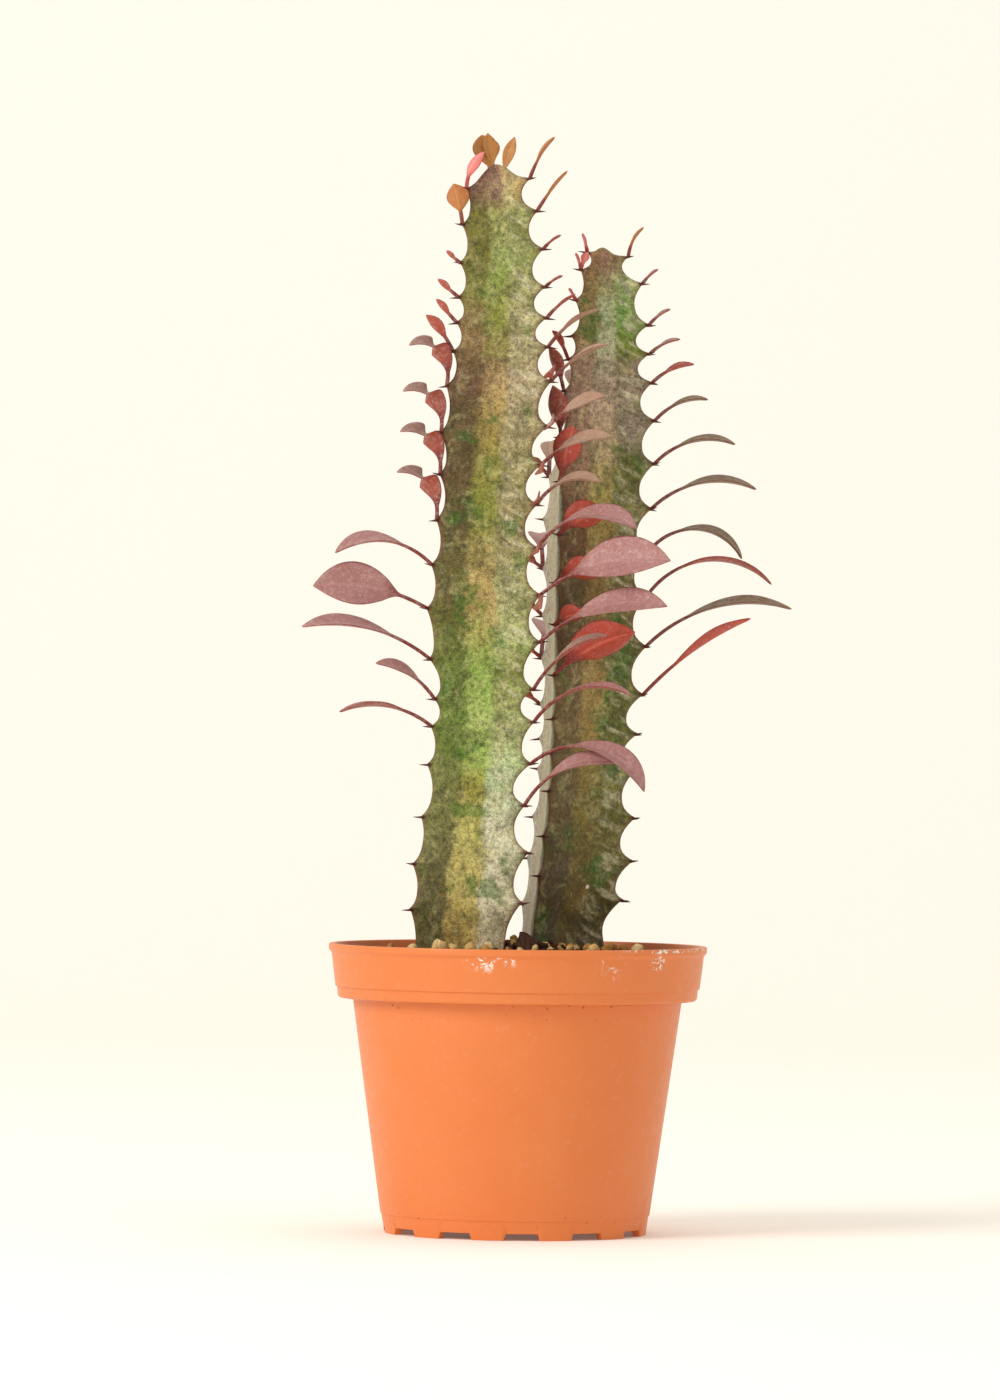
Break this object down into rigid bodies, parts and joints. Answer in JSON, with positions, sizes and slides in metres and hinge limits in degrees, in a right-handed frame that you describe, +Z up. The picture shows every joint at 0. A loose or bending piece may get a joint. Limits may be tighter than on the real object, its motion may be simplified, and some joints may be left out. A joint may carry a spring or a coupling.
{
  "type": "potted euphorbia",
  "caption": "Young three-ribbed euphorbia with spiny scalloped ribs and red-purple leaves, in a round tapered plastic nursery pot with a lipped collar and a notched foot ring.",
  "frame": {"origin": "on the surface that the pot stands on, under the middle of the whole plant's box; the pot's own axis is 7.9 mm from it towards -X", "axes": "+Z up along the pot's axis, -Y towards the front, where both stems show; the taller stem is on the -X side"},
  "size_m": [0.1363, 0.105, 0.3045],
  "materials": {
    "pot_plastic": "satin",
    "potting_soil": "matte",
    "stem_skin": "satin",
    "leaf_skin": "satin",
    "dried_stem": "matte"
  },
  "bodies": {
    "root": {"dried_stub": "dried_stem", "leaf_short_back_05": "leaf_skin", "leaf_short_back_07": "leaf_skin", "leaf_short_back_09": "leaf_skin", "leaf_short_back_11": "leaf_skin", "leaf_short_front_06": "leaf_skin", "leaf_short_front_07": "leaf_skin", "leaf_short_front_08": "leaf_skin", "leaf_short_front_09": "leaf_skin", "leaf_short_front_12": "leaf_skin", "leaf_short_right_01": "leaf_skin", "leaf_short_right_03": "leaf_skin", "leaf_short_right_04": "leaf_skin", "leaf_short_right_05": "leaf_skin", "leaf_short_right_06": "leaf_skin", "leaf_short_right_07": "leaf_skin", "leaf_short_right_08": "leaf_skin", "leaf_short_right_09": "leaf_skin", "leaf_short_right_10": "leaf_skin", "leaf_short_right_11": "leaf_skin", "leaf_short_right_12": "leaf_skin", "leaf_tall_back_01": "leaf_skin", "leaf_tall_back_06": "leaf_skin", "leaf_tall_back_08": "leaf_skin", "leaf_tall_back_10": "leaf_skin", "leaf_tall_back_12": "leaf_skin", "leaf_tall_back_14": "leaf_skin", "leaf_tall_left_02": "leaf_skin", "leaf_tall_left_05": "leaf_skin", "leaf_tall_left_06": "leaf_skin", "leaf_tall_left_07": "leaf_skin", "leaf_tall_left_08": "leaf_skin", "leaf_tall_left_09": "leaf_skin", "leaf_tall_left_10": "leaf_skin", "leaf_tall_left_11": "leaf_skin", "leaf_tall_left_12": "leaf_skin", "leaf_tall_left_13": "leaf_skin", "leaf_tall_left_14": "leaf_skin", "leaf_tall_left_15": "leaf_skin", "leaf_tall_right_01": "leaf_skin", "leaf_tall_right_02": "leaf_skin", "leaf_tall_right_05": "leaf_skin", "leaf_tall_right_06": "leaf_skin", "leaf_tall_right_07": "leaf_skin", "leaf_tall_right_08": "leaf_skin", "leaf_tall_right_09": "leaf_skin", "leaf_tall_right_10": "leaf_skin", "leaf_tall_right_11": "leaf_skin", "leaf_tall_right_12": "leaf_skin", "leaf_tall_right_13": "leaf_skin", "leaf_tall_right_14": "leaf_skin", "leaf_tall_right_15": "leaf_skin", "leaf_tall_right_16": "leaf_skin", "leaf_tall_right_17": "leaf_skin", "pot": "pot_plastic", "soil": "potting_soil", "stem_short": "stem_skin", "stem_tall": "stem_skin"}
  },
  "joints": []
}
